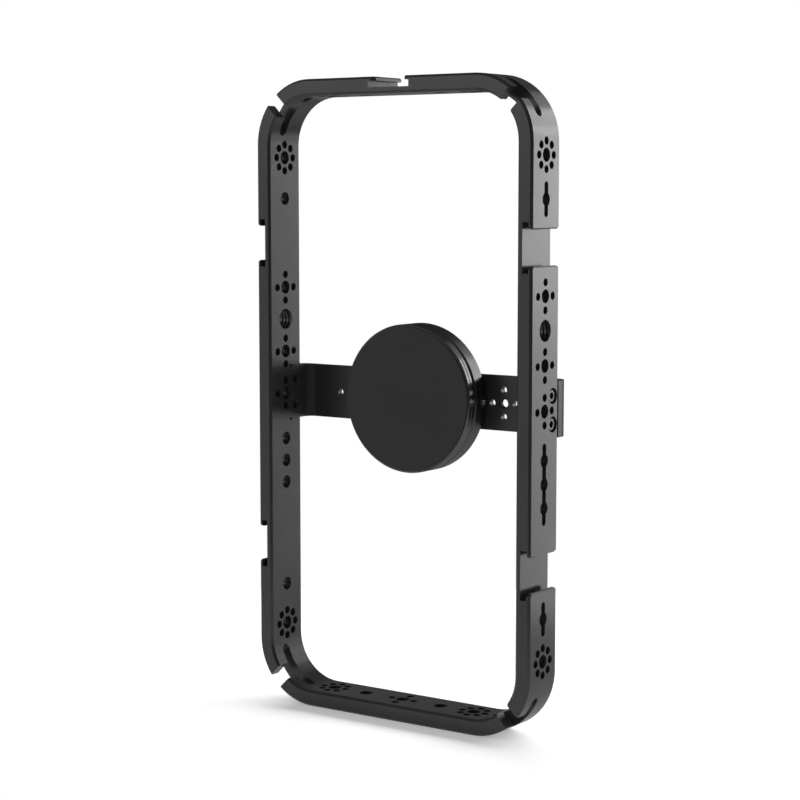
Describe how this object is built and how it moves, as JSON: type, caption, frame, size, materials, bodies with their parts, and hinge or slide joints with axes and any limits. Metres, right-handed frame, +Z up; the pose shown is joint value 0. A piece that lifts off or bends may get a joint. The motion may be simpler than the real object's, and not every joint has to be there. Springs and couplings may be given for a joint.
{
  "type": "phone cage",
  "caption": "Upright metal ring frame with cold shoes, threaded and pinned accessory holes and strap slots, and a swivelling magnetic puck on a bridge bar that holds a phone inside it.",
  "frame": {"origin": "mouth of the tripod thread in the middle of the bottom face", "axes": "+Z up along the frame's height, +X to the right as seen from the front, +Y to the back, where the bridge bar is"},
  "size_m": [0.1284, 0.0313, 0.25],
  "materials": {
    "frame_metal": "black anodised, satin",
    "bar_metal": "black anodised, fine satin",
    "bridge_screw_steel": "black oxide",
    "mount_screw_steel": "black oxide",
    "pin_steel": "ground",
    "base_metal": "die cast and black anodised, satin",
    "core_brass": "turned",
    "friction_plastic": "slick",
    "spring_steel": "rolled",
    "washer_steel": "zinc plated",
    "pivot_screw_steel": "zinc plated",
    "shell_metal": "black anodised, smooth",
    "bush_plastic": "slick",
    "head_screw_steel": "zinc plated",
    "plate_steel": "nickel plated",
    "magnet_nickel": "nickel plated",
    "cover_metal": "black anodised, smooth",
    "film_adhesive": "tacky",
    "pad_silicone": "soft matte"
  },
  "bodies": {
    "cage": {"cage_frame": "frame_metal", "bridge_bar": "bar_metal", "bridge_screws": "bridge_screw_steel", "mount_screw": "mount_screw_steel", "locating_pins": "pin_steel", "puck_base": "base_metal", "pivot_core": "core_brass", "friction_ring": "friction_plastic", "disc_spring": "spring_steel", "retaining_washer": "washer_steel", "pivot_screw": "pivot_screw_steel"},
    "head": {"head_shell": "shell_metal", "swivel_bush": "bush_plastic", "head_screws": "head_screw_steel", "back_plate": "plate_steel", "magnets": "magnet_nickel", "magnet_cover": "cover_metal", "pad_film": "film_adhesive", "face_pad": "pad_silicone"}
  },
  "joints": [
    {"name": "head_turn", "type": "hinge", "parent": "cage", "child": "head", "pos_m": [0, 0.0057, 0.1257], "axis": [0, -1, 0], "continuous": true}
  ]
}
